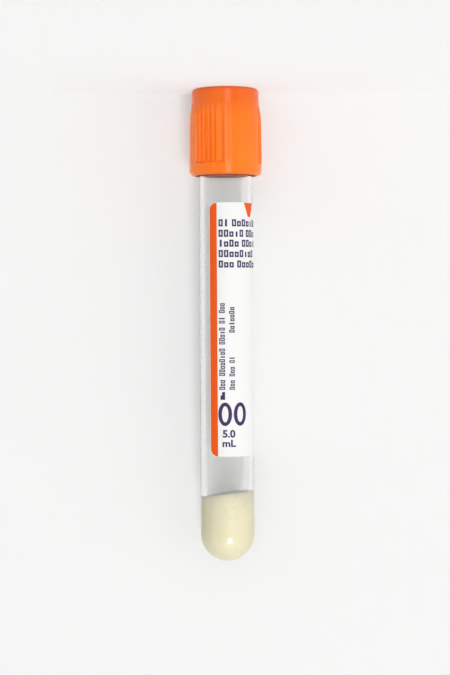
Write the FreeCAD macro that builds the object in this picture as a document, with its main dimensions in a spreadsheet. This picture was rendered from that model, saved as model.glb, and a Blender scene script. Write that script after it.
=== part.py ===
import FreeCAD, Part
import math
import os

import Sketcher
from FreeCAD import Placement, Rotation, Vector

# Evacuated blood collection tube, 13 x 100 mm format, standing on its closure.
#
# Every piece is modelled upright in its own Body, with the tube's axis on Z, the outside of the
# round end at Z = 0 and the closure at the top. Angles run from +X towards +Y. One Placement
# then turns all the pieces over together, so that the closure's flat top stands on Z = 0 with
# the axis still on Z, and the side that was +X faces -Y.

DIMENSIONS = [
    # alias, number, meaning
    ("tube_diameter", 12.5, "outside of the plastic tube"),
    ("tube_wall", 1.0, "wall of the tube, round end included"),
    ("tube_length", 100.0, "from the round end to the rim"),
    ("rim_edge", 0.3, "chamfer inside the rim, which leads the stopper in"),
    ("gel_level", 15.7, "gel surface on the axis, above the round end"),
    ("gel_rise", 1.4, "by how much the gel surface is higher at one wall than at the other"),
    ("gel_gap", 0.02, "gel to tube wall"),
    ("label_bottom", 24.8, "label's lower edge above the round end"),
    ("label_height", 58.3, "label along the tube"),
    ("label_thickness", 0.1, "label with its adhesive"),
    ("label_corner", 1.8, "radius of the label's corners"),
    ("label_start_angle", -37.0, "the label's first upright edge"),
    ("label_wrap_angle", 235.0, "angle that the label covers"),
    ("plug_length", 10.6, "stopper below the rim"),
    ("plug_gap", 0.04, "plug to bore, radial"),
    ("plug_lead", 0.6, "chamfer at the plug's end"),
    ("plug_wall", 2.51, "rubber round the cavity in the plug's end"),
    ("hollow_depth", 6.0, "depth of that cavity"),
    ("flange_gap", 0.4, "stopper's flange to skirt, radial"),
    ("flange_height", 2.2, "thickness of the flange that lies on the rim"),
    ("lip_height", 2.2, "stopper above the shield's ledge"),
    ("lip_width", 2.05, "rubber round the needle recess"),
    ("lip_edge", 0.3, "chamfer of the stopper's lip"),
    ("stopper_gap", 0.05, "stopper to the shield's ledge and seat, radial"),
    ("dish_depth", 1.3, "depth of the needle recess in the stopper's top"),
    ("skirt_gap", 0.85, "skirt's bore to tube, radial"),
    ("skirt_wall", 1.29, "wall of the skirt"),
    ("skirt_draft", 0.08, "by how much the skirt's radius is less at the shoulder"),
    ("skirt_drop", 10.5, "skirt below the tube's rim"),
    ("skirt_edge", 0.8, "chamfer of the skirt's lower edge"),
    ("band_height", 3.0, "smooth band below the flutes"),
    ("shoulder_foot", 2.5, "start of the shoulder above the rim"),
    ("shoulder_head", 6.3, "end of the shoulder above the rim"),
    ("shoulder_blend", 5.0, "rounding at the shoulder's start and end"),
    ("crown_inset", 0.61, "by how much the crown's radius is less than the skirt's"),
    ("crown_wall", 2.03, "wall of the crown round the needle well"),
    ("shield_rise", 9.5, "shield above the tube's rim"),
    ("crown_edge", 0.55, "chamfer of the crown's outer edge"),
    ("seat_step", 0.25, "by how much the seat's radius is less than the well's"),
    ("ledge_width", 1.1, "how far the ledge reaches in from the seat"),
    ("ledge_height", 1.2, "thickness of the ledge"),
    ("well_depth", 3.7, "depth of the needle well above the seat"),
    ("well_edge", 0.4, "chamfer of the well's mouth"),
    ("panels", 3, "smooth panels round the skirt"),
    ("flutes", 5, "narrow flutes between two panels"),
    ("flute_angle", 8.3, "from one narrow flute to the next"),
    ("flute_depth", 0.55, "depth of a narrow flute"),
    ("ridge_angle", 0.7, "land left uncut between two flutes"),
    ("wide_flute_angle", 13.5, "width of the broad flute beside a panel"),
    ("wide_flute_depth", 0.58, "depth of the broad flute"),
    ("field_end_angle", -1.2, "where the fluted field ends"),
]

# Two lengths this close are the same.
SAME = 0.0001

# Fluting takes away at least this volume.
LEAST_CUT = 1.0


class Size:
    """A number together with the expression that works it out from the sheet."""

    def __init__(self, number, formula):
        self.number = number
        self.formula = formula

    def __add__(self, other):
        return joined(self, "+", other)

    def __sub__(self, other):
        return joined(self, "-", other)

    def __mul__(self, other):
        return joined(self, "*", other)

    def __truediv__(self, other):
        return joined(self, "/", other)

    def __neg__(self):
        return Size(-self.number, f"(0 - {self.formula})")


def size_of(value):
    """The value as a Size, so that plain numbers can be used beside the sheet's own."""
    return value if isinstance(value, Size) else Size(float(value), repr(float(value)))


def joined(left, sign, right):
    """Two sizes added, subtracted, multiplied or divided, as number and as expression."""
    left = size_of(left)
    right = size_of(right)
    number = {
        "+": lambda a, b: a + b,
        "-": lambda a, b: a - b,
        "*": lambda a, b: a * b,
        "/": lambda a, b: a / b,
    }[sign](left.number, right.number)
    return Size(number, f"({left.formula} {sign} {right.formula})")


def sine(angle):
    """The sine of an angle in degrees."""
    return Size(math.sin(math.radians(angle.number)), f"sin({angle.formula})")


def cosine(angle):
    """The cosine of an angle in degrees."""
    return Size(math.cos(math.radians(angle.number)), f"cos({angle.formula})")


def angle_of_sine(ratio):
    """The angle in degrees whose sine is the ratio."""
    formula = f"(asin({ratio.formula}) / 1 deg)"
    return Size(math.degrees(math.asin(ratio.number)), formula)


class Sheet:
    """The spreadsheet of driving dimensions, with each alias as a Size."""

    def __init__(self, doc):
        sheet = doc.addObject("Spreadsheet::Sheet", "Dimensions")
        for row, (alias, number, meaning) in enumerate(DIMENSIONS, start=1):
            sheet.set(f"A{row}", meaning)
            sheet.set(f"B{row}", str(number))
            sheet.setAlias(f"B{row}", alias)
            setattr(self, alias, Size(float(number), f"Dimensions.{alias}"))
        doc.recompute()


def new_body(doc, label):
    """An empty Body for one piece."""
    body = doc.addObject("PartDesign::Body", label)
    body.Label = label
    return body


def plane_of(body, role):
    """One of the body's own origin planes."""
    return next(o for o in body.Origin.OriginFeatures if o.Role == role)


def new_sketch(body, name, role, lift=0):
    """A sketch on one of the body's origin planes, lifted off it when asked."""
    sketch = body.newObject("Sketcher::SketchObject", name)
    sketch.AttachmentSupport = [(plane_of(body, role), "")]
    sketch.MapMode = "FlatFace"
    lift = size_of(lift)
    sketch.AttachmentOffset = Placement(Vector(0, 0, lift.number), Rotation())
    sketch.setExpression(".AttachmentOffset.Base.z", lift.formula)
    return sketch


def pin(sketch, kind, geometry, vertex, distance):
    """Fix one coordinate of a point of the sketch: kind is DistanceX or DistanceY."""
    distance = size_of(distance)
    index = sketch.addConstraint(
        Sketcher.Constraint(kind, -1, 1, geometry, vertex, distance.number)
    )
    sketch.setExpression(f"Constraints[{index}]", distance.formula)


def pin_point(sketch, geometry, vertex, across, up):
    """Fix a point of the sketch at a distance across and up from its origin."""
    pin(sketch, "DistanceX", geometry, vertex, across)
    pin(sketch, "DistanceY", geometry, vertex, up)


def outline(sketch, corners):
    """A closed outline of straight lines through the corners, each (across, up)."""
    points = [Vector(size_of(x).number, size_of(y).number, 0) for x, y in corners]
    count = len(points)
    for i in range(count):
        sketch.addGeometry(Part.LineSegment(points[i], points[(i + 1) % count]), False)
    for i in range(count):
        sketch.addConstraint(Sketcher.Constraint("Coincident", i, 2, (i + 1) % count, 1))
        pin_point(sketch, i, 1, *corners[i])


def disc(sketch, across, up, radius):
    """A full circle in the sketch."""
    centre = Vector(size_of(across).number, size_of(up).number, 0)
    index = sketch.addGeometry(Part.Circle(centre, Vector(0, 0, 1), radius.number), False)
    pin_point(sketch, index, 3, across, up)
    at = sketch.addConstraint(Sketcher.Constraint("Radius", index, radius.number))
    sketch.setExpression(f"Constraints[{at}]", radius.formula)


def new_feature(body, kind, name):
    """A PartDesign feature whose faces stay as they are cut: merging them would bend them."""
    feature = body.newObject(f"PartDesign::{kind}", name)
    feature.Refine = False
    return feature


def bullet(sketch, radius, foot, top):
    """Half the section of a round-ended rod: a quarter circle at the foot, then straight."""
    middle = foot + radius
    centre = Vector(0, middle.number, 0)
    arc = Part.ArcOfCircle(
        Part.Circle(centre, Vector(0, 0, 1), radius.number), -math.pi / 2, 0
    )
    corners = [
        Vector(0, foot.number, 0),
        Vector(radius.number, middle.number, 0),
        Vector(radius.number, top.number, 0),
        Vector(0, top.number, 0),
    ]
    sketch.addGeometry(arc, False)
    for i in (1, 2, 3):
        sketch.addGeometry(Part.LineSegment(corners[i], corners[(i + 1) % 4]), False)
    for i in range(4):
        sketch.addConstraint(Sketcher.Constraint("Coincident", i, 2, (i + 1) % 4, 1))
    pin_point(sketch, 0, 3, 0, middle)
    pin_point(sketch, 0, 1, 0, foot)
    pin(sketch, "DistanceY", 0, 2, middle)
    pin_point(sketch, 2, 1, radius, top)
    pin_point(sketch, 3, 1, 0, top)


def revolution(body, name, sketch, kind="Revolution"):
    """The sketch turned all the way round Z, as material or as a groove."""
    turned = new_feature(body, kind, name)
    turned.Profile = sketch
    turned.ReferenceAxis = (sketch, ["V_Axis"])
    turned.Angle = 360.0
    return turned


def ring_edges(feature, radius, height):
    """Names of the feature's circular edges of that radius at that height."""
    names = []
    for number, edge in enumerate(feature.Shape.Edges, start=1):
        if edge.Degenerated or not isinstance(edge.Curve, Part.Circle):
            continue
        curve = edge.Curve
        if abs(curve.Radius - radius.number) < SAME and abs(curve.Center.z - height.number) < SAME:
            names.append(f"Edge{number}")
    return names


def edged(body, kind, name, base, rings, amount):
    """A fillet or chamfer on the rings, each (radius, height), of the body's last feature."""
    body.Document.recompute()
    names = []
    for radius, height in rings:
        names += ring_edges(base, radius, height)
    dressed = new_feature(body, kind, name)
    dressed.Base = (base, names)
    dressed.setExpression("Radius" if kind == "Fillet" else "Size", amount.formula)
    return dressed


def tube(doc, size):
    """The moulded plastic tube: one wall from the round end to the open rim."""
    body = new_body(doc, "tube")
    outside = size.tube_diameter / 2
    bore = outside - size.tube_wall
    rim = size.tube_length

    rod = new_sketch(body, "tube_outside", "XZ_Plane")
    bullet(rod, outside, size_of(0), rim)
    revolution(body, "tube_rod", rod)
    inside = new_sketch(body, "tube_inside", "XZ_Plane")
    bullet(inside, bore, size.tube_wall, rim)
    hollow = revolution(body, "tube_hollow", inside, "Groove")

    edged(body, "Chamfer", "rim_lead", hollow, [(bore, rim)], size.rim_edge)
    return body


def separator_gel(doc, size):
    """The gel that fills the round end, with a surface that leans across the tube."""
    body = new_body(doc, "separator_gel")
    bore = size.tube_diameter / 2 - size.tube_wall
    top = size.gel_level + size.gel_rise

    fill = new_sketch(body, "gel_fill", "XZ_Plane")
    bullet(fill, bore - size.gel_gap, size.tube_wall + size.gel_gap, top)
    revolution(body, "gel_rod", fill)

    above = new_sketch(body, "gel_surface", "YZ_Plane")
    low = size.gel_level - size.gel_rise / 2
    high = size.gel_level + size.gel_rise / 2
    outline(above, [(-bore, low), (bore, high), (bore, top), (-bore, top)])
    cut = new_feature(body, "Pocket", "gel_surface_cut")
    cut.Profile = above
    cut.SideType = "Symmetric"
    cut.Type = "Length"
    cut.setExpression("Length", size.tube_diameter.formula)
    return body


def corner_waste(sketch, across, up, side, end, radius):
    """What is cut off a corner at (across, up) to leave it rounded. side and end are 1 or -1:
    the way out of the sheet sideways and endways."""
    mid_x = across - radius * side
    mid_y = up - radius * end
    far_x = across + radius * side
    far_y = up + radius * end
    quarter = math.pi / 2
    first = {(1, 1): 0, (-1, 1): 1, (-1, -1): 2, (1, -1): 3}[(side, end)] * quarter
    circle = Part.Circle(
        Vector(mid_x.number, mid_y.number, 0), Vector(0, 0, 1), radius.number
    )
    arc = sketch.addGeometry(Part.ArcOfCircle(circle, first, first + quarter), False)
    beside, endways = (1, 2) if side == end else (2, 1)
    corners = [(across, mid_y), (far_x, mid_y), (far_x, far_y), (mid_x, far_y), (mid_x, up)]
    points = [Vector(x.number, y.number, 0) for x, y in corners]
    lines = [
        sketch.addGeometry(Part.LineSegment(points[i], points[i + 1]), False) for i in range(4)
    ]
    pin_point(sketch, arc, 3, mid_x, mid_y)
    at = sketch.addConstraint(Sketcher.Constraint("Radius", arc, radius.number))
    sketch.setExpression(f"Constraints[{at}]", radius.formula)
    pin(sketch, "DistanceY", arc, beside, mid_y)
    pin(sketch, "DistanceX", arc, endways, mid_x)
    sketch.addConstraint(Sketcher.Constraint("Coincident", arc, beside, lines[0], 1))
    for i in (1, 2, 3):
        sketch.addConstraint(Sketcher.Constraint("Coincident", lines[i - 1], 2, lines[i], 1))
        pin_point(sketch, lines[i], 1, *corners[i])
    sketch.addConstraint(Sketcher.Constraint("Coincident", lines[3], 2, arc, endways))


def turned_sketch(body, name, turn):
    """A sketch on the XZ plane swung round Z by an angle."""
    sketch = new_sketch(body, name, "XZ_Plane")
    sketch.AttachmentOffset = Placement(Vector(), Rotation(Vector(0, 1, 0), turn.number))
    sketch.setExpression(".AttachmentOffset.Rotation.Angle", turn.formula)
    return sketch


def label(doc, size):
    """The label, wrapped part of the way round the tube, with rounded corners."""
    body = new_body(doc, "label")
    inside = size.tube_diameter / 2
    outside = inside + size.label_thickness
    low = size.label_bottom
    high = low + size.label_height

    section = turned_sketch(body, "label_section", size.label_start_angle)
    outline(section, [(inside, low), (outside, low), (outside, high), (inside, high)])
    wrap = new_feature(body, "Revolution", "label_wrap")
    wrap.Profile = section
    wrap.ReferenceAxis = (section, ["V_Axis"])
    wrap.setExpression("Angle", size.label_wrap_angle.formula)

    # each upright edge has its two corners cut off square to the sheet, from the axis outward
    radius = size.label_corner
    lean = angle_of_sine(radius / (outside * 2))
    for name, edge, side in (
        ("first", size.label_start_angle, -1),
        ("last", size.label_start_angle + size.label_wrap_angle, 1),
    ):
        waste = turned_sketch(body, f"{name}_corners", edge - lean * side + 90)
        corner_waste(waste, radius * side / 2, high, side, 1, radius)
        corner_waste(waste, radius * side / 2, low, side, -1, radius)
        cut = new_feature(body, "Pocket", f"{name}_corners_cut")
        cut.Profile = waste
        cut.Type = "Length"
        cut.Reversed = True
        cut.setExpression("Length", size.tube_diameter.formula)
    return body


def shield_radii(size):
    """The closure's radii, from the tube outward and back in: skirt bore, skirt, crown, needle
    well, seat round the stopper's lip, and ledge."""
    skirt_bore = size.tube_diameter / 2 + size.skirt_gap
    skirt = skirt_bore + size.skirt_wall
    crown = skirt - size.crown_inset
    well = crown - size.crown_wall
    seat = well - size.seat_step
    ledge = seat - size.ledge_width
    return skirt_bore, skirt, crown, well, seat, ledge


def stopper(doc, size):
    """The rubber stopper: a plug in the bore, a flange on the rim, a neck through the
    shield's ledge and a lip above it, with a needle recess on top."""
    body = new_body(doc, "stopper")
    skirt_bore, _, _, _, seat, ledge = shield_radii(size)
    rim = size.tube_length
    plug = size.tube_diameter / 2 - size.tube_wall - size.plug_gap
    foot = rim - size.plug_length
    hollow = plug - size.plug_wall
    hollow_roof = foot + size.hollow_depth
    flange = skirt_bore - size.flange_gap
    ledge_foot = rim + size.flange_height
    ledge_top = ledge_foot + size.ledge_height
    neck = ledge - size.stopper_gap
    lip = seat - size.stopper_gap
    top = ledge_top + size.lip_height
    dish = lip - size.lip_width

    section = new_sketch(body, "stopper_section", "XZ_Plane")
    outline(
        section,
        [
            (0, hollow_roof),
            (hollow, hollow_roof),
            (hollow, foot),
            (plug - size.plug_lead, foot),
            (plug, foot + size.plug_lead),
            (plug, rim),
            (flange, rim),
            (flange, ledge_foot),
            (neck, ledge_foot),
            (neck, ledge_top),
            (lip, ledge_top),
            (lip, top),
            (dish, top),
            (dish / 2, top - size.dish_depth),
            (0, top - size.dish_depth),
        ],
    )
    turned = revolution(body, "stopper_turned", section)
    edged(body, "Chamfer", "lip_chamfer", turned, [(lip, top)], size.lip_edge)
    return body


def shield_blank(body, size):
    """The shield before fluting: skirt, shoulder, crown, ledge and needle well."""
    skirt_bore, skirt, crown, well, seat, ledge = shield_radii(size)
    rim = size.tube_length
    foot = rim - size.skirt_drop
    top = rim + size.shield_rise
    well_floor = top - size.well_depth
    ledge_foot = rim + size.flange_height
    ledge_top = ledge_foot + size.ledge_height
    shoulder = skirt - size.skirt_draft
    shoulder_foot = rim + size.shoulder_foot
    shoulder_head = rim + size.shoulder_head

    section = new_sketch(body, "shield_section", "XZ_Plane")
    outline(
        section,
        [
            (skirt_bore, foot),
            (skirt, foot),
            (skirt, foot + size.band_height),
            (shoulder, shoulder_foot),
            (crown, shoulder_head),
            (crown, top),
            (well, top),
            (well, well_floor),
            (seat, well_floor),
            (seat, ledge_top),
            (ledge, ledge_top),
            (ledge, ledge_foot),
            (skirt_bore, ledge_foot),
        ],
    )
    blank = revolution(body, "shield_blank", section)
    blended = edged(
        body, "Fillet", "shoulder_blend", blank,
        [(shoulder, shoulder_foot), (crown, shoulder_head)], size.shoulder_blend,
    )
    lower = edged(body, "Chamfer", "skirt_edge", blended, [(skirt, foot)], size.skirt_edge)
    upper = edged(body, "Chamfer", "crown_edge", lower, [(crown, top)], size.crown_edge)
    return edged(body, "Chamfer", "well_mouth", upper, [(well, top)], size.well_edge)


def flute_disc(sketch, size, turn, sweep, depth):
    """The section of one flute: a disc that reaches the flute's depth at the angle turn and
    comes out of the skirt at half the sweep on either side."""
    skirt = shield_radii(size)[1]
    half = (sweep - size.ridge_angle) / 2
    chord = skirt * sine(half)
    reach = depth - skirt * (size_of(1) - cosine(half))
    radius = (reach * reach + chord * chord) / (reach * 2)
    centre = skirt - depth + radius
    disc(sketch, centre * cosine(turn), centre * sine(turn), radius)


def upward_cut(body, name, sketch, height):
    """A pocket from the sketch upward."""
    cut = new_feature(body, "Pocket", name)
    cut.Profile = sketch
    cut.Type = "Length"
    cut.Reversed = True
    cut.setExpression("Length", height.formula)
    return cut


def polar_pattern(body, name, angle, count):
    """A pattern round Z: count copies spread over the angle."""
    pattern = new_feature(body, "PolarPattern", name)
    pattern.Axis = (plane_of(body, "Z_Axis"), [""])
    pattern.setExpression("Angle", angle.formula)
    pattern.setExpression("Occurrences", count.formula)
    return pattern


def closure_shield(doc, size):
    """The moulded shield over the stopper. Its skirt has three fluted fields between smooth
    panels. The flutes start above a smooth band and run out in arches on the shoulder."""
    body = new_body(doc, "closure_shield")
    blank = shield_blank(body, size)
    doc.recompute()
    before = blank.Shape.Volume

    start = size.tube_length - size.skirt_drop + size.band_height
    length = size.tube_length + size.shield_rise - start
    narrow_field = size.flute_angle * size.flutes
    field_start = size.field_end_angle - size.wide_flute_angle - narrow_field
    first = field_start + size.flute_angle / 2

    narrow = new_sketch(body, "flute_section", "XY_Plane", start)
    flute_disc(narrow, size, first, size.flute_angle, size.flute_depth)
    flute = upward_cut(body, "flute", narrow, length)
    fields = new_feature(body, "MultiTransform", "flute_fields")
    fields.Originals = [flute]
    fields.Transformations = [
        polar_pattern(body, "flutes_of_a_field", narrow_field - size.flute_angle, size.flutes),
        polar_pattern(body, "fields_of_flutes", size_of(360), size.panels),
    ]
    body.Tip = fields

    broad = new_sketch(body, "wide_flute_section", "XY_Plane", start)
    wide_centre = size.field_end_angle - size.wide_flute_angle / 2
    flute_disc(broad, size, wide_centre, size.wide_flute_angle, size.wide_flute_depth)
    wide = upward_cut(body, "wide_flute", broad, length)
    wides = polar_pattern(body, "wide_flutes", size_of(360), size.panels)
    wides.Originals = [wide]
    body.Tip = wides
    doc.recompute()
    if wides.Shape.Volume > before - LEAST_CUT:
        raise RuntimeError("the flutes have not been cut")
    return body


def standing_placement(size):
    """Turns the tube over onto the closure's flat top, with local +X facing -Y."""
    height = size.tube_length + size.shield_rise
    return Placement(Vector(0, 0, height.number), Rotation(Vector(1, -1, 0), 180))


def check(doc, bodies):
    """Stop if any object failed or any piece is not one valid solid."""
    for item in doc.Objects:
        if "Invalid" in item.State or "Error" in item.State:
            raise RuntimeError(f"{item.Name} failed: {item.State}")
    for body in bodies:
        shape = body.Shape
        if shape.isNull() or not shape.isValid() or len(shape.Solids) != 1:
            raise RuntimeError(f"{body.Label} is not one valid solid")


def main():
    doc = FreeCAD.newDocument("blood_collection_tube")
    size = Sheet(doc)
    bodies = [
        tube(doc, size),
        separator_gel(doc, size),
        label(doc, size),
        stopper(doc, size),
        closure_shield(doc, size),
    ]
    standing = standing_placement(size)
    for body in bodies:
        body.Placement = standing
    doc.recompute()
    check(doc, bodies)
    os.makedirs("parts", exist_ok=True)
    for body in bodies:
        body.Shape.exportStep(f"parts/{body.Label}.step")
        print(f"{body.Label:16} {body.Shape.Volume:9.1f} mm3")


main()
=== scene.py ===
import math

import bmesh
import bpy
from mathutils import Matrix, Vector


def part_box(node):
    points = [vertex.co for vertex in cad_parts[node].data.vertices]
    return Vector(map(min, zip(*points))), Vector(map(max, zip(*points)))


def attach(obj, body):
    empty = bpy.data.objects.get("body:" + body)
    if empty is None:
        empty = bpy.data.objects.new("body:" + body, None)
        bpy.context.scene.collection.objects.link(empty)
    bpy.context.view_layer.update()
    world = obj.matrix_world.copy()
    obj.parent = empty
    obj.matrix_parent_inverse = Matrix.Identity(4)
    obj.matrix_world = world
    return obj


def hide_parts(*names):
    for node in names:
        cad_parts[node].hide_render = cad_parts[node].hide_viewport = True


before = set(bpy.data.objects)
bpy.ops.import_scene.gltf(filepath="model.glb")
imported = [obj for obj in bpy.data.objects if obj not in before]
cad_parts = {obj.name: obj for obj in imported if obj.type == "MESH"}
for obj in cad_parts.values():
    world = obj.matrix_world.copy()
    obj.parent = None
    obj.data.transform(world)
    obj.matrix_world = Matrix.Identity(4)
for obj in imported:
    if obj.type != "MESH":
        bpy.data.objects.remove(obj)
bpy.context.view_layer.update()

# The tube stands on its closure, as the frame has it: the closure's flat top is at z = 0, the
# round end is at the top, and the label's printed front faces -Y. Angles round the tube start
# at that front and run towards -X, which is the reader's right when the closure is held up.
# Names such as SKIRT_FOOT, CROWN_TOP and LABEL_LOW are given with the closure held up too, so
# that a foot has the larger z. Lengths are in metres, built from MM.

MM = 0.001

tube_low, tube_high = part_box("tube")
gel_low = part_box("separator_gel")[0]
label_low, label_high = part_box("label")
stopper_low, stopper_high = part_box("stopper")
shield_low, shield_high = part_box("closure_shield")

TUBE_R = tube_high.x
RIM = tube_low.z
END = tube_high.z
WALL = 1.0 * MM
BORE = TUBE_R - WALL
BALL = END - TUBE_R

SKIRT_R = shield_high.x
SKIRT_BORE = 7.1 * MM
SKIRT_FOOT = shield_high.z
SHOULDER_FOOT = RIM - 2.5 * MM
SHOULDER_HEAD = RIM - 6.3 * MM
CROWN_R = 7.78 * MM
CROWN_TOP = shield_low.z
WELL_R = 5.75 * MM
WELL_FLOOR = CROWN_TOP + 3.7 * MM
SEAT_R = 5.5 * MM
LEDGE_R = 4.4 * MM
LEDGE_FOOT = RIM - 2.2 * MM
LEDGE_TOP = RIM - 3.4 * MM
SMALL_ROUND = 0.15 * MM

# Segments round whatever is turned, and the turn in degrees from which an edge stays crisp: on
# gel and label, and on the moulded stopper and shield.
ROUND = 160
CUT_EDGE = 40
MOULDED_EDGE = 50


# --- mesh helpers -------------------------------------------------------------------------


def around(angle, radius, z):
    """The point at an angle in degrees round the tube."""
    a = math.radians(angle)
    return Vector((-radius * math.sin(a), -radius * math.cos(a), z))


def new_piece(name, vertices, faces, material, body, node=None, smooth=True):
    """A mesh piece of the part, with its normals facing out."""
    mesh = bpy.data.meshes.new(name)
    mesh.from_pydata([tuple(v) for v in vertices], [], faces)
    shell = bmesh.new()
    shell.from_mesh(mesh)
    bmesh.ops.remove_doubles(shell, verts=shell.verts, dist=1e-8)
    bmesh.ops.recalc_face_normals(shell, faces=shell.faces)
    shell.to_mesh(mesh)
    shell.free()
    mesh.polygons.foreach_set("use_smooth", [smooth] * len(mesh.polygons))
    piece = bpy.data.objects.new(name, mesh)
    bpy.context.scene.collection.objects.link(piece)
    mesh.materials.append(material)
    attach(piece, body)
    if node:
        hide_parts(node)
    return piece


def sharpen(piece, degrees):
    """Keep the edges that turn by more than the angle crisp."""
    shell = bmesh.new()
    shell.from_mesh(piece.data)
    limit = math.radians(degrees)
    for edge in shell.edges:
        if len(edge.link_faces) == 2:
            edge.smooth = edge.calc_face_angle() < limit
    shell.to_mesh(piece.data)
    shell.free()


def grid_faces(rows, columns, closed_rows=False, closed_columns=False):
    """Quads between rows of vertices, each row having the same number of columns."""
    faces = []
    for i in range(rows if closed_rows else rows - 1):
        j_count = columns if closed_columns else columns - 1
        for j in range(j_count):
            a, b = i * columns, ((i + 1) % rows) * columns
            k = (j + 1) % columns
            faces.append((a + j, a + k, b + k, b + j))
    return faces


def arc(centre, radius, first, last, steps):
    """Points (radius, z) of an arc in the section plane, from the first to the last angle, in
    degrees from the outward direction towards +z."""
    points = []
    for i in range(steps + 1):
        a = math.radians(first + (last - first) * i / steps)
        points.append((centre[0] + radius * math.cos(a), centre[1] + radius * math.sin(a)))
    return points


# The most of a straight that one of its corners may take.
NEAR_HALF = 0.49


def softened(corners, radii, steps=4):
    """A section's corners (radius, z), each rounded by its own radius where that isn't 0."""
    points = []
    count = len(corners)
    for i, corner in enumerate(corners):
        here = Vector(corner)
        before = Vector(corners[i - 1]) - here
        after = Vector(corners[(i + 1) % count]) - here
        if not radii[i]:
            points.append(tuple(here))
            continue
        half = before.angle(after) / 2
        room = NEAR_HALF * min(before.length, after.length)
        reach = min(radii[i] / math.tan(half), room)
        start = here + before.normalized() * reach
        stop = here + after.normalized() * reach
        for k in range(steps + 1):
            t = k / steps
            points.append(tuple(start.lerp(here, t).lerp(here.lerp(stop, t), t)))
    return points


# How close to a corner the shading of a straight is held.
HOLD = 0.12 * MM
LONG_STRAIGHT = 6 * HOLD


def held(section):
    """The closed section with a point close to each end of its long straights, which keeps the
    rounding of a corner from shading them."""
    points = []
    for here, there in zip(section, section[1:] + section[:1]):
        points.append(here)
        start, stop = Vector(here), Vector(there)
        length = (stop - start).length
        if length > LONG_STRAIGHT:
            points += [tuple(start.lerp(stop, t)) for t in (HOLD / length, 1 - HOLD / length)]
    return points


def lathe(section, segments):
    """Vertices and faces of a closed section turned round the axis."""
    vertices = []
    section = held(section)
    for radius, z in section:
        for j in range(segments):
            vertices.append(around(360 * j / segments, max(radius, 0.0), z))
    return vertices, grid_faces(len(section), segments, closed_rows=True, closed_columns=True)


# --- materials ----------------------------------------------------------------------------


# Colours as (darker, lighter). A texture mixes them, and the haze's change with the height.
# The clear plastic is a little darker where no gel covers it: a coating's haze, and in part painted
# shade inside the tube.
HAZE_AND_SHADE_COLOURS = (0.965, 0.97, 0.965), (0.985, 0.985, 0.985)
GEL_COLOURS = (0.77, 0.725, 0.525), (0.80, 0.75, 0.565)
FILM_COLOURS = (0.825, 0.825, 0.812), (0.86, 0.86, 0.845)
ORANGE_INK = (0.79, 0.088, 0.002), (0.85, 0.105, 0.004)
DARK_INK = (0.036, 0.018, 0.088), (0.060, 0.034, 0.125)
RUBBER_COLOURS = (0.36, 0.045, 0.018), (0.46, 0.075, 0.032)
SKIRT_COLOURS = (0.97, 0.178, 0.001), (1.0, 0.206, 0.003)
# The crown's colours are darker than the skirt's: painted shade on the crown.
SHADED_CROWN_COLOURS = (0.83, 0.130, 0.002), (0.88, 0.150, 0.004)

# What the tube's wall lets through from a lamp: coated, square on and at a slant, and where the
# gel has taken the coating up.
COATED_LIGHT = (0.50, 0.50, 0.495), (0.30, 0.30, 0.30)
GELLED_LIGHT = (0.98, 0.98, 0.975)
COATING_FADE = 1.5 * MM

# The middle part of a noise texture's values, which holds nearly all of them.
NOISE_LOW, NOISE_HIGH = 0.3, 0.7


def new_material(name):
    """A material with only its Principled shader: returns it, its nodes, links and shader."""
    material = bpy.data.materials.new(name)
    material.use_nodes = True
    nodes, links = material.node_tree.nodes, material.node_tree.links
    return material, nodes, links, nodes["Principled BSDF"]


def set_inputs(node, values):
    """Set the node's inputs by name."""
    for name, value in values.items():
        node.inputs[name].default_value = value


def noise(nodes, links, scale, detail=3.0, roughness=0.5, stretch=(1, 1, 1)):
    """A noise texture in object space, scaled per metre and stretched where asked."""
    place = nodes.new("ShaderNodeTexCoord")
    mapping = nodes.new("ShaderNodeMapping")
    mapping.inputs["Scale"].default_value = stretch
    texture = nodes.new("ShaderNodeTexNoise")
    set_inputs(texture, {"Scale": scale, "Detail": detail, "Roughness": roughness})
    links.new(place.outputs["Object"], mapping.inputs["Vector"])
    links.new(mapping.outputs["Vector"], texture.inputs["Vector"])
    return texture.outputs["Fac"]


def spread(nodes, links, source, low, high):
    """The source's middle part mapped onto low to high."""
    span = nodes.new("ShaderNodeMapRange")
    set_inputs(span, {"From Min": NOISE_LOW, "From Max": NOISE_HIGH, "To Min": low, "To Max": high})
    links.new(source, span.inputs["Value"])
    return span.outputs["Result"]


def tinted(nodes, links, source, colours):
    """A colour that runs from the first to the second over the source's middle part."""
    ramp = nodes.new("ShaderNodeValToRGB")
    for stop, place, colour in zip(ramp.color_ramp.elements, (NOISE_LOW, NOISE_HIGH), colours):
        stop.position = place
        stop.color = (*colour, 1)
    links.new(source, ramp.inputs["Fac"])
    return ramp.outputs["Color"]


def bumped(nodes, links, shader, source, depth):
    """The source as bump of that depth in metres."""
    bump = nodes.new("ShaderNodeBump")
    bump.inputs["Distance"].default_value = depth
    links.new(source, bump.inputs["Height"])
    links.new(bump.outputs["Normal"], shader.inputs["Normal"])


def height_share(nodes, links, low, high, kind="LINEAR"):
    """A value that rises from 0 at one height to 1 at the other."""
    place = nodes.new("ShaderNodeTexCoord")
    split = nodes.new("ShaderNodeSeparateXYZ")
    share = nodes.new("ShaderNodeMapRange")
    share.interpolation_type = kind
    set_inputs(share, {"From Min": low, "From Max": high})
    links.new(place.outputs["Object"], split.inputs[0])
    links.new(split.outputs["Z"], share.inputs["Value"])
    return share.outputs["Result"]


def mixed_colour(nodes, links, share, first, second):
    """The first colour where the share is 0, the second, which may be a plain one, where it is 1."""
    mix = nodes.new("ShaderNodeMix")
    mix.data_type = "RGBA"
    links.new(share, mix.inputs["Factor"])
    links.new(first, mix.inputs[6])
    if isinstance(second, tuple):
        mix.inputs[7].default_value = (*second, 1)
    else:
        links.new(second, mix.inputs[7])
    return mix.outputs[2]


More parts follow.
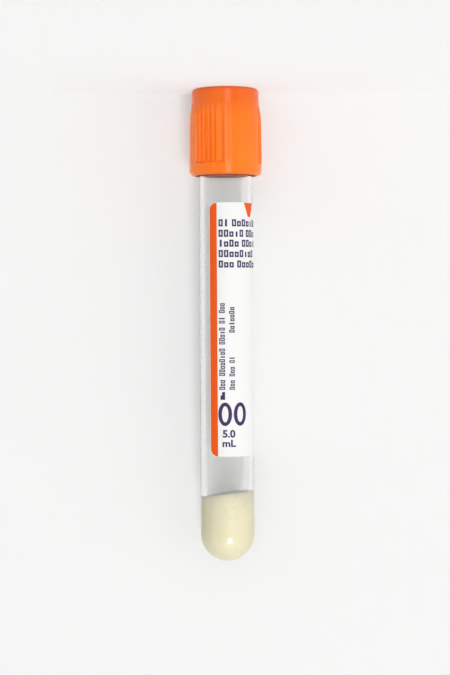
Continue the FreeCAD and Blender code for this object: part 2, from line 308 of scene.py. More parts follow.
def mixed_shader(nodes, links, share, first, second):
    """The first shader where the share is 0 and the second where it is 1."""
    mix = nodes.new("ShaderNodeMixShader")
    links.new(share, mix.inputs[0])
    links.new(first, mix.inputs[1])
    links.new(second, mix.inputs[2])
    return mix.outputs["Shader"]


def calculated(nodes, links, operation, source, number):
    """The source taken with a number in one operation."""
    step = nodes.new("ShaderNodeMath")
    step.operation = operation
    step.inputs[1].default_value = number
    links.new(source, step.inputs[0])
    return step.outputs["Value"]


def looked_at(nodes, links):
    """1 for the rays that see a surface directly, by gloss or through glass, and 0 for those that
    only gather light."""
    path = nodes.new("ShaderNodeLightPath")
    return calculated(nodes, links, "LESS_THAN", path.outputs["Diffuse Depth"], 0.5)


def clear_plastic():
    """Clear moulded polyester, slightly wavy along the tube, tinted a little darker where no gel
    covers it, as a dried coating's haze and in part as painted shade inside the tube. Lamps shine
    through it, less so where they graze it."""
    material, nodes, links, shader = new_material("clear_polyester")
    gelled = height_share(nodes, links, gel_low.z, gel_low.z + COATING_FADE)
    # Darker where no gel covers it: a coating's haze and in part painted shade.
    links.new(tinted(nodes, links, gelled, HAZE_AND_SHADE_COLOURS), shader.inputs["Base Color"])
    set_inputs(shader, {"Transmission Weight": 1.0, "IOR": 1.57})
    ripple = noise(nodes, links, scale=260, detail=2.0, stretch=(1, 1, 0.04))
    bumped(nodes, links, shader, ripple, depth=0.03 * MM)
    polish = noise(nodes, links, scale=900)
    links.new(spread(nodes, links, polish, low=0.02, high=0.06), shader.inputs["Roughness"])
    slant = nodes.new("ShaderNodeLayerWeight")
    slant.inputs["Blend"].default_value = 0.35
    coated = tinted(nodes, links, slant.outputs["Facing"], COATED_LIGHT)
    passed = mixed_colour(nodes, links, gelled, coated, GELLED_LIGHT)
    clear = nodes.new("ShaderNodeBsdfTransparent")
    links.new(passed, clear.inputs["Color"])
    rays = nodes.new("ShaderNodeLightPath")
    surface = mixed_shader(
        nodes, links, rays.outputs["Is Shadow Ray"], shader.outputs["BSDF"], clear.outputs["BSDF"]
    )
    links.new(surface, nodes["Material Output"].inputs["Surface"])
    return material


def gel_material():
    """Cream gel, cloudy enough to hide what is behind it."""
    material, nodes, links, shader = new_material("cream_gel")
    cloud = noise(nodes, links, scale=160, detail=2.0)
    links.new(tinted(nodes, links, cloud, GEL_COLOURS), shader.inputs["Base Color"])
    set_inputs(shader, {
        "Subsurface Weight": 1.0,
        "Subsurface Radius": (1.0, 1.0, 0.7),
        "Subsurface Scale": 6 * MM,
        "IOR": 1.45,
    })
    skin = noise(nodes, links, scale=700)
    links.new(spread(nodes, links, skin, low=0.25, high=0.4), shader.inputs["Roughness"])
    return material


def film_material():
    """The label's white satin film."""
    material, nodes, links, shader = new_material("label_film")
    fibre = noise(nodes, links, scale=2200, detail=4.0, roughness=0.7)
    links.new(tinted(nodes, links, fibre, FILM_COLOURS), shader.inputs["Base Color"])
    links.new(spread(nodes, links, fibre, low=0.42, high=0.55), shader.inputs["Roughness"])
    bumped(nodes, links, shader, fibre, depth=0.004 * MM)
    return material


def ink_material(name, colours):
    """Printed ink with the press's slight unevenness."""
    material, nodes, links, shader = new_material(name)
    grain = noise(nodes, links, scale=3200, detail=3.0, roughness=0.7)
    links.new(tinted(nodes, links, grain, colours), shader.inputs["Base Color"])
    links.new(spread(nodes, links, grain, low=0.4, high=0.55), shader.inputs["Roughness"])
    shader.inputs["Specular IOR Level"].default_value = 0.25
    return material


def rubber_material():
    """Matt brick-orange rubber with a fine dusting."""
    material, nodes, links, shader = new_material("stopper_rubber")
    grain = noise(nodes, links, scale=1400, detail=4.0, roughness=0.65)
    links.new(tinted(nodes, links, grain, RUBBER_COLOURS), shader.inputs["Base Color"])
    links.new(spread(nodes, links, grain, low=0.55, high=0.75), shader.inputs["Roughness"])
    bumped(nodes, links, shader, grain, depth=0.02 * MM)
    return material


def shield_material():
    """Orange moulded plastic, satin and a little translucent, with its crown painted darker than the
    skirt as painted shade. Its mould was turned, so its gloss runs along the tube."""
    material, nodes, links, shader = new_material("orange_moulding")
    cloud = noise(nodes, links, scale=120, detail=3.0)
    skirt = tinted(nodes, links, cloud, SKIRT_COLOURS)
    crown = tinted(nodes, links, cloud, SHADED_CROWN_COLOURS)
    # The crown is painted darker than the skirt, as painted shade, and blends into it over the
    # shoulder.
    below = height_share(nodes, links, SHOULDER_HEAD - MM, SHOULDER_FOOT, "SMOOTHSTEP")
    links.new(mixed_colour(nodes, links, below, crown, skirt), shader.inputs["Base Color"])
    set_inputs(shader, {
        "Subsurface Weight": 0.15,
        "Subsurface Radius": (1.0, 0.35, 0.12),
        "Subsurface Scale": 0.5 * MM,
        "Specular IOR Level": 0.45,
        "Anisotropic": 1.0,
        "Anisotropic Rotation": 0.25,
    })
    turning = nodes.new("ShaderNodeTangent")
    turning.direction_type = "RADIAL"
    turning.axis = "Z"
    links.new(turning.outputs["Tangent"], shader.inputs["Tangent"])
    grain = noise(nodes, links, scale=2600, detail=3.0, roughness=0.6)
    links.new(spread(nodes, links, grain, low=0.33, high=0.39), shader.inputs["Roughness"])
    bumped(nodes, links, shader, grain, depth=0.006 * MM)
    return material


# --- tube and gel -------------------------------------------------------------------------

END_STEPS = 36
RIM_EDGE = 0.25 * MM


def make_tube(material):
    """One wall from the rim to the round end and back, turned as a closed section."""
    outside = arc((0, BALL), TUBE_R, 90, 0, END_STEPS)
    inside = arc((0, BALL), BORE, 0, 90, END_STEPS)
    rim = softened(
        [(TUBE_R, BALL), (TUBE_R, RIM), (BORE, RIM), (BORE, BALL)],
        [0, RIM_EDGE, RIM_EDGE, 0],
    )
    vertices, faces = lathe(outside + rim[1:-1] + inside, ROUND)
    new_piece("tube_wall", vertices, faces, material, "tube_body", "tube")


# The gel's surface climbs by GEL_RISE towards +X and leans a little towards the back, and it
# clings to the wall. The gel reaches a little way into the wall that it wets. Its rings stop
# POLE_GAP degrees from the round end's pole.
GEL_RISE = 1.4 * MM
GEL_LEVEL = gel_low.z + GEL_RISE / 2
GEL_SLOPE = GEL_RISE / (2 * BORE)
GEL_LEAN = 0.06
GEL_CLING = 0.12 * MM
CLING_POWER = 8
GEL_WET = 0.03 * MM
GEL_RINGS = 10
POLE_GAP = 2


def gel_surface(x, y):
    """Height of the gel's surface above a place."""
    near_wall = (math.hypot(x, y) / BORE) ** CLING_POWER
    return GEL_LEVEL + GEL_SLOPE * x + GEL_LEAN * y - GEL_CLING * near_wall


def make_gel(material):
    """The gel in the round end: rings over its surface and down the end to the pole."""
    radius = BORE + GEL_WET
    vertices = []
    for i in range(1, GEL_RINGS + 1):
        for j in range(ROUND):
            p = around(360 * j / ROUND, radius * i / GEL_RINGS, 0)
            vertices.append((p.x, p.y, gel_surface(p.x, p.y)))
    for r, z in arc((0, BALL), radius, 0, 90 - POLE_GAP, END_STEPS):
        for j in range(ROUND):
            vertices.append(around(360 * j / ROUND, r, z))
    rows = GEL_RINGS + END_STEPS + 1
    faces = grid_faces(rows, ROUND, closed_columns=True)
    middle, pole, last = rows * ROUND, rows * ROUND + 1, (rows - 1) * ROUND
    vertices += [(0, 0, gel_surface(0, 0)), (0, 0, BALL + radius)]
    for j in range(ROUND):
        k = (j + 1) % ROUND
        faces += [(middle, j, k), (pole, last + k, last + j)]
    piece = new_piece("gel_fill", vertices, faces, material, "tube_body", "separator_gel")
    sharpen(piece, CUT_EDGE)


# --- label and its print ------------------------------------------------------------------
# Places on the label are (across, up) as it is read with the closure up: across from its left
# edge, up from its lower edge. The film bites into the tube by a hair, so that no gap shows, and
# the ink lies half in the film. A slab is a pair of vertices and faces.

LABEL_R = label_high.y
LABEL_START = -37.0
LABEL_WRAP = 235.0
LABEL_LOW = label_high.z
LABEL_HEIGHT = label_high.z - label_low.z
LABEL_WIDTH = math.radians(LABEL_WRAP) * LABEL_R
LABEL_CORNER = 1.8 * MM
CORNER_ANGLES = (0, 10, 20, 30, 40, 50, 60, 75, 90)
FILM_BITE = 0.01 * MM
INK = 0.012 * MM
COLUMN = 0.2 * MM


def on_label(across, up, lift):
    """The point of the label at a place, lifted off its printed face."""
    angle = LABEL_START + math.degrees(across / LABEL_R)
    return around(angle, LABEL_R + lift, LABEL_LOW - up)


def wrapped(left, right, low, high, bottom, top, breaks=()):
    """A slab that follows the label from left to right. low and high give its lower and upper
    edge at each place across; bottom and top are its depths off the printed face."""
    count = max(2, math.ceil((right - left) / COLUMN))
    places = sorted({left + (right - left) * i / count for i in range(count + 1)} | set(breaks))
    loops = []
    for across in places:
        a, b = low(across), high(across)
        loops.append([
            on_label(across, a, bottom), on_label(across, a, top),
            on_label(across, b, top), on_label(across, b, bottom),
        ])
    vertices = [p for loop in loops for p in loop]
    faces = grid_faces(len(loops), 4, closed_columns=True)
    last = (len(loops) - 1) * 4
    faces += [(3, 2, 1, 0), (last, last + 1, last + 2, last + 3)]
    return vertices, faces


def joined(slabs):
    """Several (vertices, faces) as one."""
    vertices, faces = [], []
    for some, theirs in slabs:
        start = len(vertices)
        vertices += some
        faces += [tuple(i + start for i in face) for face in theirs]
    return vertices, faces


def bar(left, right, low, high):
    """A printed rectangle."""
    return wrapped(left, right, lambda x: low, lambda x: high, -INK, INK)


def corner_cut(across, inset, radius):
    """By how much the label's rounded corners shorten it at a place across."""
    edge = min(across - inset, LABEL_WIDTH - inset - across)
    if edge >= radius:
        return 0.0
    return radius - math.sqrt(max(radius * radius - (radius - edge) ** 2, 0.0))


def corner_places(inset, radius):
    """Places across that a rounded corner needs."""
    steps = [radius * (1 - math.cos(math.radians(a))) for a in CORNER_ANGLES]
    return [inset + s for s in steps] + [LABEL_WIDTH - inset - s for s in steps]


def make_label(material):
    """The film with its rounded corners."""
    def cut(x):
        return corner_cut(x, 0.0, LABEL_CORNER)

    vertices, faces = wrapped(
        0.0, LABEL_WIDTH, cut, lambda x: LABEL_HEIGHT - cut(x),
        TUBE_R - LABEL_R - FILM_BITE, 0.0, corner_places(0.0, LABEL_CORNER),
    )
    piece = new_piece("label_film", vertices, faces, material, "tube_body", "label")
    sharpen(piece, CUT_EDGE)


STRIPE_INSET = 0.1 * MM
STRIPE_RIGHT = 1.94 * MM


def make_stripe(material):
    """The coloured stripe along the label's left edge."""
    radius = LABEL_CORNER - STRIPE_INSET

    def cut(x):
        return STRIPE_INSET + corner_cut(x, STRIPE_INSET, radius)

    places = [x for x in corner_places(STRIPE_INSET, radius) if x < STRIPE_RIGHT]
    vertices, faces = wrapped(
        STRIPE_INSET, STRIPE_RIGHT, cut, lambda x: LABEL_HEIGHT - cut(x), -INK, INK, places
    )
    piece = new_piece("label_stripe", vertices, faces, material, "tube_body")
    sharpen(piece, CUT_EDGE)


POINTER_LEFT = 8.6 * MM
POINTER_RIGHT = 12.1 * MM
POINTER_TIP = 10.4 * MM
POINTER_BLUNT = 0.5 * MM
POINTER_TOP = LABEL_HEIGHT - 0.05 * MM
POINTER_DROP = 3.2 * MM
POINTER_LEAST = 0.02 * MM


def make_pointer(material):
    """The coloured pointer that hangs from the label's top edge, its tip cut blunt."""
    turns = POINTER_TIP - POINTER_BLUNT, POINTER_TIP + POINTER_BLUNT

    def low(x):
        from_left = (x - POINTER_LEFT) / (turns[0] - POINTER_LEFT)
        from_right = (POINTER_RIGHT - x) / (POINTER_RIGHT - turns[1])
        share = min(from_left, from_right, 1.0)
        return POINTER_TOP - max(POINTER_DROP * share, POINTER_LEAST)

    vertices, faces = wrapped(
        POINTER_LEFT, POINTER_RIGHT, low, lambda x: POINTER_TOP, -INK, INK, turns
    )
    piece = new_piece("label_pointer", vertices, faces, material, "tube_body")
    sharpen(piece, CUT_EDGE)


# The bold rows, in mm: where they start across, then each one's lower edge and how many signs its
# words have. The gap between words is in pitches.
TEXT_LEFT = 2.38
ROWS = [
    (52.81, (2, 10)),
    (50.42, (5, 5)),
    (48.15, (4, 5)),
    (45.79, (8,)),
    (43.40, (3, 6)),
]
ROW_SIZE = 1.62
ROW_PITCH = 1.24
ROW_GAP = 0.5

# The rows that run up the label, in mm: the baseline's place across, where the row starts, the
# size and pitch of its signs, and how many signs its words have.
SIDE_ROWS = [
    (3.7, 15.4, 1.35, 0.80, (3, 8, 5, 2, 3)),
    (5.95, 15.4, 1.25, 0.77, (3, 3, 2)),
    (5.95, 28.5, 1.25, 0.86, (7,)),
]
SIDE_GAP = 1.0

# Parts of the pitch that a frame, its stroke and a stroke by itself take, and the part of the
# size that a lower sign has as its height.
SIGN_WIDTH = 0.80
SIGN_STROKE = 0.29
LONE_STROKE = 1.3 * SIGN_STROKE
LOWER_SIGN = 0.76

# The widest cell of a sign, and a length that is as good as none.
SIGN_COLUMN = 1.5 * COLUMN
HAIR = 0.001 * MM


def cell_slab(places, levels, empty):
    """A slab of the cells between places across and levels up, apart from the empty ones."""
    vertices, faces, index = [], [], {}
    columns, rows = len(places) - 1, len(levels) - 1

    def corner(i, j, lift):
        if (i, j, lift) not in index:
            index[i, j, lift] = len(vertices)
            vertices.append(on_label(places[i], levels[j], lift))
        return index[i, j, lift]

    def filled(i, j):
        return 0 <= i < columns and 0 <= j < rows and not empty(places[i], levels[j])

    for i in range(columns):
        for j in range(rows):
            if not filled(i, j):
                continue
            loop = [(i, j), (i + 1, j), (i + 1, j + 1), (i, j + 1)]
            faces.append(tuple(corner(*c, INK) for c in loop))
            faces.append(tuple(corner(*c, -INK) for c in reversed(loop)))
            beside = [(i, j - 1), (i + 1, j), (i, j + 1), (i - 1, j)]
            for k, cell in enumerate(beside):
                if not filled(*cell):
                    c, d = loop[k], loop[(k + 1) % 4]
                    rim = [(*c, INK), (*c, -INK), (*d, -INK), (*d, INK)]
                    faces.append(tuple(corner(*at) for at in rim))
    return vertices, faces


def sign(left, right, low, high, stroke):
    """A printed frame."""
    x0, x1, y0, y1 = left + stroke, right - stroke, low + stroke, high - stroke
    places = [left]
    for stop in (x0, x1, right):
        start = places[-1]
        count = max(1, math.ceil((stop - start) / SIGN_COLUMN))
        places += [start + (stop - start) * k / count for k in range(1, count + 1)]

    def empty(x, y):
        return x0 - HAIR < x < x1 - HAIR and y0 - HAIR < y < y1 - HAIR

    return cell_slab(places, [low, y0, y1, high], empty)


def word(place, size, pitch, signs, turned):
    """Signs side by side: frames of two heights and a few plain strokes, with no letters. The
    place is where the first one stands; turned words run up the label."""
    slabs = []
    across, up = place
    for k in range(signs):
        high = k == 0 or (k + signs) % 3 == 0
        lone = (2 * k + signs) % 7 == 4
        height = size if high else LOWER_SIGN * size
        breadth = (LONE_STROKE if lone else SIGN_WIDTH) * pitch
        start = k * pitch + (SIGN_WIDTH * pitch - breadth) / 2
        stop = start + breadth
        if turned:
            edges = (across - height, across, up + start, up + stop)
        else:
            edges = (across + start, across + stop, up, up + height)
        slabs.append(bar(*edges) if lone else sign(*edges, SIGN_STROKE * pitch))
    return slabs


def make_print(material):
    """Print as rows of plain frames and strokes."""
    slabs = []
    for up, words in ROWS:
        across = TEXT_LEFT
        for signs in words:
            slabs += word((across * MM, up * MM), ROW_SIZE * MM, ROW_PITCH * MM, signs, False)
            across += (signs + ROW_GAP) * ROW_PITCH
    for across, up, size, pitch, words in SIDE_ROWS:
        for signs in words:
            slabs += word((across * MM, up * MM), size * MM, pitch * MM, signs, True)
            up += (signs + SIDE_GAP) * pitch
    vertices, faces = joined(slabs)
    new_piece("label_print", vertices, faces, material, "tube_body", smooth=False)


# The marks: two rings beside each other, by their middles, and a stepped block over them.
RING_PLACES = (3.66 * MM, 7.25 * MM)
RING_UP = 9.77 * MM
RING_HALF_WIDTH = 1.6 * MM
RING_HALF_HEIGHT = 2.7 * MM
RING_STROKE = 0.85 * MM
RING_STEPS = 60
BLOCK_LEFT = 2.6 * MM
BLOCK_STEP = 2.96 * MM
BLOCK_RIGHT = 3.66 * MM
BLOCK_LEVELS = (13.1 * MM, 14.1 * MM, 14.9 * MM)


def ring(middle):
    """A printed upright oval ring round a place across."""
    loops = []
    for k in range(RING_STEPS):
        turn = math.tau * k / RING_STEPS
        points = []
        for inset in (0, RING_STROKE / 2, RING_STROKE):
            x = middle + (RING_HALF_WIDTH - inset) * math.cos(turn)
            y = RING_UP + (RING_HALF_HEIGHT - inset) * math.sin(turn)
            points.append((x, y))
        over = [on_label(x, y, INK) for x, y in points]
        under = [on_label(x, y, -INK) for x, y in reversed(points)]
        loops.append(over + under)
    vertices = [p for loop in loops for p in loop]
    return vertices, grid_faces(RING_STEPS, 6, closed_rows=True, closed_columns=True)


def make_marks(material):
    """Plain shapes where the label has marks."""
    low, step, high = BLOCK_LEVELS
    slabs = [bar(BLOCK_LEFT, BLOCK_RIGHT, low, step), bar(BLOCK_STEP, BLOCK_RIGHT, step, high)]
    slabs += [ring(middle) for middle in RING_PLACES]
    vertices, faces = joined(slabs)
    new_piece("label_marks", vertices, faces, material, "tube_body", smooth=False)


# The built-in font's curves are made bolder by this part of their size.
BOLDER = 0.035


def make_text(name, words, material, across, up, height, width):
    """The volume or its unit, cut to columns and wrapped on the label."""
    curve = bpy.data.curves.new(name, "FONT")
    curve.body = words
    curve.offset = BOLDER
    curve.extrude = 0.5
    flat = bpy.data.objects.new(name, curve)
    bpy.context.scene.collection.objects.link(flat)
    shaped = flat.evaluated_get(bpy.context.evaluated_depsgraph_get())
    mesh = bpy.data.meshes.new_from_object(shaped)
    bpy.data.objects.remove(flat)
    shell = bmesh.new()
    shell.from_mesh(mesh)
    xs = [v.co.x for v in shell.verts]
    ys = [v.co.y for v in shell.verts]
    left, right, low = min(xs), max(xs), min(ys)
    scale_x = width / (right - left)
    scale_y = height / (max(ys) - low)
    cuts = math.ceil(width / COLUMN)
    for i in range(1, cuts):
        whole = shell.verts[:] + shell.edges[:] + shell.faces[:]
        at = left + (right - left) * i / cuts
        bmesh.ops.bisect_plane(shell, geom=whole, plane_co=(at, 0, 0), plane_no=(1, 0, 0))
    for v in shell.verts:
        lift = INK if v.co.z > 0 else -INK
        v.co = on_label(across + (v.co.x - left) * scale_x, up + (v.co.y - low) * scale_y, lift)
    shell.to_mesh(mesh)
    vertices = [v.co.copy() for v in mesh.vertices]
    faces = [tuple(p.vertices) for p in mesh.polygons]
    shell.free()
    bpy.data.meshes.remove(mesh)
    new_piece(name, vertices, faces, material, "tube_body", smooth=False)


# --- stopper ------------------------------------------------------------------------------

PLUG_R = 5.23 * MM
PLUG_LEAD = 0.6 * MM
HOLLOW_R = 2.7 * MM
HOLLOW_DEPTH = 6.0 * MM
NECK_R = 4.35 * MM
LIP_R = 5.45 * MM
DISH_R = 3.4 * MM
DISH_DEPTH = 1.3 * MM
RUBBER_ROUND = 0.35 * MM


def make_stopper(material):
    """Plug, flange, neck and lip, with the plug's cavity and the needle recess."""
    foot, top, flange_r = stopper_high.z, stopper_low.z, stopper_high.x
    roof, dish_floor = foot - HOLLOW_DEPTH, top + DISH_DEPTH
    small, edge = SMALL_ROUND, RUBBER_ROUND
    corners = {
        (0, roof): 0,
        (HOLLOW_R / 2, roof): edge,
        (HOLLOW_R, roof + HOLLOW_R / 2): edge,
        (HOLLOW_R, foot): edge,
        (PLUG_R - PLUG_LEAD, foot): edge,
        (PLUG_R, foot - PLUG_LEAD): small,
        (PLUG_R, RIM): small,
        (flange_r, RIM): edge,
        (flange_r, LEDGE_FOOT): edge,
        (NECK_R, LEDGE_FOOT): small,
        (NECK_R, LEDGE_TOP): small,
        (LIP_R, LEDGE_TOP): edge,
        (LIP_R, top): edge,
        (DISH_R, top): edge,
        (DISH_R / 2, dish_floor): edge,
        (0, dish_floor): 0,
    }
    vertices, faces = lathe(softened(list(corners), list(corners.values())), ROUND)
    piece = new_piece("stopper_rubber", vertices, faces, material, "closure", "stopper")
    sharpen(piece, MOULDED_EDGE)


# --- closure shield -----------------------------------------------------------------------

DRAFT = 0.08 * MM
BAND_TOP = SKIRT_FOOT - 3.0 * MM
SKIRT_ROUND = 1.15 * MM
SHOULDER_BLEND = 9.0 * MM
CROWN_ROUND = 0.8 * MM
SHIELD_ROUND = 0.4 * MM
WALL_ROW = 0.35 * MM

# The flutes, with angles in degrees: each panel has one field beside it, of narrow flutes and a
# wide one, with a ridge left between each two.
PANELS = 3
THIRD = 360 / PANELS
FLUTES = 5
FLUTE_ANGLE = 8.3
FLUTE_DEPTH = 0.55 * MM
RIDGE_ANGLE = 0.7
WIDE_ANGLE = 13.5
WIDE_DEPTH = 0.58 * MM
FIELD_END = -1.2
FIELD_START = FIELD_END - WIDE_ANGLE - FLUTES * FLUTE_ANGLE
RIDGE_SOFTNESS = 0.09 * MM
RUN_OUT = 0.35 * MM

# Fine lines in the skin on either side of a fluted field, with their depths.
LINES = {FIELD_END + 6.3: 0.08 * MM, FIELD_START - 12.3: 0.15 * MM}
LINE_HALF = 0.9
LINE_FADE = 1.0 * MM

# The widest step in degrees between two columns of the shield's skin.
SKIN_STEP = 2.0


def flute_discs():
    """The flutes of one field as (angle, half sweep, centre, radius) of their discs."""
    made = []

    def flute(angle, sweep, depth):
        half = math.radians((sweep - RIDGE_ANGLE) / 2)
        chord = SKIRT_R * math.sin(half)
        reach = depth - SKIRT_R * (1 - math.cos(half))
        radius = (reach * reach + chord * chord) / (2 * reach)
        made.append((angle, sweep / 2, SKIRT_R - depth + radius, radius))

    for k in range(FLUTES):
        flute(FIELD_START + FLUTE_ANGLE * (k + 0.5), FLUTE_ANGLE, FLUTE_DEPTH)
    flute(FIELD_END - WIDE_ANGLE / 2, WIDE_ANGLE, WIDE_DEPTH)
    return made


FLUTE_DISCS = flute_discs()


def turned_from(angle, other):
    """The signed angle from the other to the first, within one third of the closure."""
    return (angle - other + THIRD / 2) % THIRD - THIRD / 2


def fluted_limit(angle):
    """How far out the flutes let the skin reach at an angle."""
    reach = SKIRT_R + MM
    for at, _, centre, radius in FLUTE_DISCS:
        turn = math.radians(turned_from(angle, at))
        side = centre * math.sin(turn)
        if abs(side) < radius:
            reach = min(reach, centre * math.cos(turn) - math.sqrt(radius ** 2 - side ** 2))
    return reach


def line_depth(angle):
    """Depth of the fine lines at an angle."""
    depth = 0.0
    for at, deepest in LINES.items():
        away = min(abs(turned_from(angle, at)) / LINE_HALF, 1.0)
        depth += deepest * (0.5 + 0.5 * math.cos(math.pi * away))
    return depth


def softly_less(a, b, softness):
    """The lesser of two lengths, with the corner between them rounded."""
    h = max(softness - abs(a - b), 0.0) / softness
    return min(a, b) - h * h * softness / 4


def field_angles():
    """Angles of the grid's columns: close together at the ridges and the fine lines."""
    marks = [FIELD_END]
    for at, half, _, _ in FLUTE_DISCS:
        marks += [at - half * math.cos(math.radians(a)) for a in range(0, 180, 12)]
    for at in LINES:
        marks += [at + LINE_HALF * i / 5 for i in range(-5, 6)]
    marks.sort()
    filled = []
    for here, there in zip(marks, marks[1:] + [marks[0] + THIRD]):
        steps = max(1, math.ceil((there - here) / SKIN_STEP - 0.01))
        filled += [here + (there - here) * i / steps for i in range(steps)]
    return [k * THIRD + a for k in range(PANELS) for a in filled]


def shield_profile():
    """The shield's outer outline from the skirt's foot to the crown's top, as (radius, z)."""
    foot = (SKIRT_R - SKIRT_ROUND, SKIRT_FOOT - SKIRT_ROUND)
    top = (CROWN_R - CROWN_ROUND, CROWN_TOP + CROWN_ROUND)
    points = arc(foot, SKIRT_ROUND, 90, 0, 10)
    points += [(SKIRT_R, BAND_TOP + RUN_OUT * k / 4) for k in range(4, -1, -1)]
    slope = [
        (SKIRT_R, BAND_TOP), (SKIRT_R - DRAFT, SHOULDER_FOOT), (CROWN_R, SHOULDER_HEAD),
        (CROWN_R, CROWN_TOP + CROWN_ROUND),
    ]
    soft = softened(slope, [0, SHOULDER_BLEND, SHOULDER_BLEND, 0], 14)
    for (r0, z0), (r1, z1) in zip(soft, soft[1:]):
        count = max(1, round((z0 - z1) / WALL_ROW))
        for k in range(1, count + 1):
            points.append((r0 + (r1 - r0) * k / count, z0 + (z1 - z0) * k / count))
    return points + arc(top, CROWN_ROUND, 0, -90, 8)[1:]


def shield_inside():
    """The inner outline from the crown's top down the well and the skirt's bore to its foot."""
    corners = {
        (CROWN_R - CROWN_ROUND, CROWN_TOP): 0,
        (WELL_R, CROWN_TOP): SHIELD_ROUND,
        (WELL_R, WELL_FLOOR): SMALL_ROUND,
        (SEAT_R, WELL_FLOOR): SMALL_ROUND,
        (SEAT_R, LEDGE_TOP): SMALL_ROUND,
        (LEDGE_R, LEDGE_TOP): SHIELD_ROUND,
        (LEDGE_R, LEDGE_FOOT): SHIELD_ROUND,
        (SKIRT_BORE, LEDGE_FOOT): SMALL_ROUND,
        (SKIRT_BORE, SKIRT_FOOT): SHIELD_ROUND,
        (SKIRT_R - SKIRT_ROUND, SKIRT_FOOT): 0,
    }
    return softened(list(corners), list(corners.values()))[1:-1]


def make_shield(material):
    """Skirt, shoulder and crown as one skin with the flutes pressed into it, and the inside."""
    angles = field_angles()
    limits = [(a, fluted_limit(a), line_depth(a)) for a in angles]
    outer, inner = shield_profile(), shield_inside()
    vertices = []
    for r, z in outer:
        share = min(max((BAND_TOP + RUN_OUT - z) / RUN_OUT, 0.0), 1.0)
        fade = min(max((z - SHOULDER_HEAD) / LINE_FADE, 0.0), 1.0) * share
        for angle, limit, line in limits:
            cut = r - softly_less(r, limit, RIDGE_SOFTNESS)
            vertices.append(around(angle, r - cut * share - line * fade, z))
    for r, z in inner:
        vertices += [around(angle, r, z) for angle in angles]
    rows = len(outer) + len(inner)
    faces = grid_faces(rows, len(angles), closed_rows=True, closed_columns=True)
    piece = new_piece(
        "shield_moulding", vertices, faces, material, "closure", "closure_shield"
    )
    sharpen(piece, MOULDED_EDGE)


# --- camera, floor and lamps --------------------------------------------------------------

# The camera leans and rolls by small angles in degrees, and its lens gives the scale at the aim.
LEAN = 1.4513
ROLL = 0.355
AIM = Vector((0.37 * MM, 0, 57.47 * MM))
CAMERA_AWAY = 0.390
PIXELS_PER_METRE = 4296.0
IMAGE_LONG = 675
SENSOR = 36.0
NEAREST, FARTHEST = 0.01, 20


def make_camera():
    """Nearly level with the part's middle, turned so that the closure is at the picture's top.
    Returns the direction that the camera looks in."""
    lean, roll = math.radians(LEAN), math.radians(ROLL)
    ahead = Vector((0, math.cos(lean), math.sin(lean)))
    up = Vector((-math.sin(roll), 0, -math.cos(roll)))
    up = (up - ahead * up.dot(ahead)).normalized()
    right = ahead.cross(up)
    data = bpy.data.cameras.new("camera")
    data.sensor_width = SENSOR
    data.lens = PIXELS_PER_METRE * CAMERA_AWAY * SENSOR / IMAGE_LONG
    data.clip_start, data.clip_end = NEAREST, FARTHEST
    camera = bpy.data.objects.new("camera", data)
    place = Matrix((right, up, -ahead)).transposed().to_4x4()
    place.translation = AIM - ahead * CAMERA_AWAY
    camera.matrix_world = place
    bpy.context.scene.collection.objects.link(camera)
    bpy.context.scene.camera = camera
    return ahead


# Paper for floor and card. The camera sees it evened out by a share, to a level of its own, and
# the rest of it keeps the object's shadow.
PAPER_COLOUR = (0.9, 0.9, 0.895, 1)
EVEN_COLOUR = (1.0, 0.998, 0.996, 1)
EVENED = 0.42
CARD_SHOWN = 0.865
FLOOR_SHOWN = 1.07


def pale_paper(name, shown, clear_behind=False):
    """Pale matt paper, partly evened out to the shown level. Where it is clear behind, it never
    hides the part."""
    material, nodes, links, shader = new_material(name)
    set_inputs(shader, {"Base Color": PAPER_COLOUR, "Roughness": 0.9, "Specular IOR Level": 0.1})
    even = nodes.new("ShaderNodeEmission")
    set_inputs(even, {"Color": EVEN_COLOUR, "Strength": shown})
    seen = calculated(nodes, links, "MULTIPLY", looked_at(nodes, links), EVENED)
    surface = mixed_shader(nodes, links, seen, shader.outputs["BSDF"], even.outputs["Emission"])
    if clear_behind:
        behind = nodes.new("ShaderNodeNewGeometry").outputs["Backfacing"]
        clear = nodes.new("ShaderNodeBsdfTransparent").outputs["BSDF"]
        surface = mixed_shader(nodes, links, behind, surface, clear)
    links.new(surface, nodes["Material Output"].inputs["Surface"])
    return material


def plain_sheet(name, centre, up_side, width, height, material):
    """A flat rectangle that isn't part of the object, wide along X and high along up_side."""
    a, b = Vector((width / 2, 0, 0)), up_side * (height / 2)
    mesh = bpy.data.meshes.new(name)
    mesh.from_pydata([tuple(centre + p) for p in (-a - b, a - b, a + b, b - a)], [], [(0, 1, 2, 3)])
    mesh.materials.append(material)
    sheet = bpy.data.objects.new(name, mesh)
    bpy.context.scene.collection.objects.link(sheet)


# The card's lower edge is sunk under the floor, so that no gap shows between them.
FLOOR_SIDE = 3.0
FLOOR_GAP = 0.02 * MM
CARD_WIDTH = 0.9
CARD_HEIGHT = 0.6
CARD_SUNK = 5 * MM
CARD_GAP = 0.03 * MM


def make_floor():
    """A pale floor just under the closure's flat top."""
    centre, up_side = Vector((0, 0, -FLOOR_GAP)), Vector((0, 1, 0))
    material = pale_paper("pale_floor", FLOOR_SHOWN)
    plain_sheet("floor", centre, up_side, FLOOR_SIDE, FLOOR_SIDE, material)


def make_card(ahead):
    """A pale card square to the camera's view, which just clears the round end from behind."""
    up_side = Vector((1, 0, 0)).cross(ahead)
    back = BALL * math.sin(math.radians(LEAN)) + TUBE_R + CARD_GAP
    centre = ahead * back + up_side * (CARD_HEIGHT / 2 - CARD_SUNK)
    material = pale_paper("pale_card", CARD_SHOWN, clear_behind=True)
    plain_sheet("card", centre, up_side, CARD_WIDTH, CARD_HEIGHT, material)


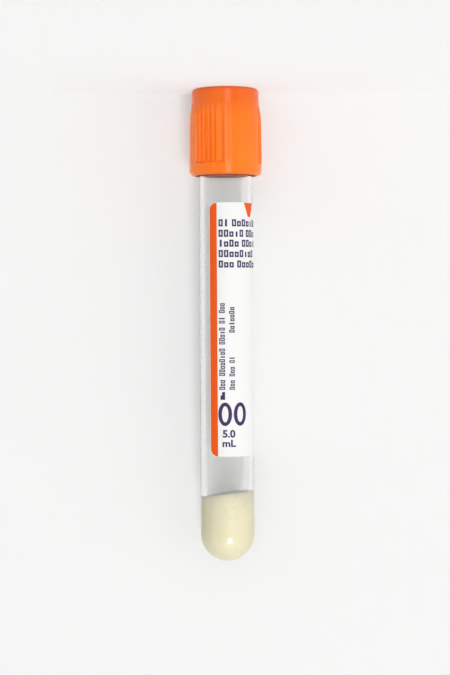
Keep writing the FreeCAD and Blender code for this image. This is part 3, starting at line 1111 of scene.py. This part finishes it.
# Each lamp's name, its turn towards the reader's right and its rise, how wide and high it looks
# from the middle of the tube (all in degrees), its level, and whether it shows in gloss.
LAMPS = [
    ("key", 10, 27, 14, 21, 0.42, True),
    ("fill", -20, 18, 40, 40, 0.11, False),
    ("side", 60, 18, 40, 40, 0.12, False),
    ("other_side", -60, 18, 40, 40, 0.03, False),
]
LAMP_AWAY = 2.5
MIDDLE = Vector((0, 0, (RIM + END) / 2))

# The world's own light, and the level at which it is seen.
WORLD_LIGHT = 0.18
WORLD_SHOWN = 0.93


def make_lamp(name, turn, rise, width, height, level, gleams):
    """A rectangular lamp that points at the middle of the tube. The level is what it alone gives
    a white sheet that faces the reader."""
    a, e = math.radians(turn), math.radians(rise)
    toward = Vector((-math.sin(a) * math.cos(e), -math.cos(a) * math.cos(e), math.sin(e)))
    data = bpy.data.lights.new(name, "AREA")
    data.shape = "RECTANGLE"
    data.size = 2 * LAMP_AWAY * math.tan(math.radians(width / 2))
    data.size_y = 2 * LAMP_AWAY * math.tan(math.radians(height / 2))
    data.energy = level * (math.pi * LAMP_AWAY) ** 2 / -toward.y
    lamp = bpy.data.objects.new(name, data)
    lamp.visible_transmission = False
    lamp.visible_glossy = gleams
    lamp.location = MIDDLE + toward * LAMP_AWAY
    lamp.rotation_mode = "QUATERNION"
    lamp.rotation_quaternion = (-toward).to_track_quat("-Z", "Y")
    bpy.context.scene.collection.objects.link(lamp)


def make_world():
    """An even world that gives little light and is seen pale."""
    world = bpy.data.worlds.new("world")
    bpy.context.scene.world = world
    world.use_nodes = True
    nodes, links = world.node_tree.nodes, world.node_tree.links
    lit, seen = nodes["Background"], nodes.new("ShaderNodeBackground")
    set_inputs(lit, {"Color": (1, 1, 1, 1), "Strength": WORLD_LIGHT})
    set_inputs(seen, {"Color": (WORLD_SHOWN, WORLD_SHOWN, WORLD_SHOWN, 1), "Strength": 1.0})
    backgrounds = lit.outputs["Background"], seen.outputs["Background"]
    surface = mixed_shader(nodes, links, looked_at(nodes, links), *backgrounds)
    links.new(surface, nodes["World Output"].inputs["Surface"])


# --- the part -----------------------------------------------------------------------------

orange_ink = ink_material("orange_ink", ORANGE_INK)
dark_ink = ink_material("dark_ink", DARK_INK)

make_tube(clear_plastic())
make_gel(gel_material())
make_label(film_material())
make_stripe(orange_ink)
make_pointer(orange_ink)
make_print(dark_ink)
make_marks(dark_ink)
make_text(
    "label_volume", "5.0", dark_ink,
    across=3.05 * MM, up=4.38 * MM, height=1.8 * MM, width=2.95 * MM,
)
make_text(
    "label_unit", "mL", dark_ink,
    across=3.0 * MM, up=2.25 * MM, height=1.65 * MM, width=3.15 * MM,
)
make_stopper(rubber_material())
make_shield(shield_material())

# --- the scene round it -------------------------------------------------------------------

ahead = make_camera()
make_floor()
make_card(ahead)
make_world()
for lamp in LAMPS:
    make_lamp(*lamp)
bpy.context.scene.view_settings.view_transform = "Standard"
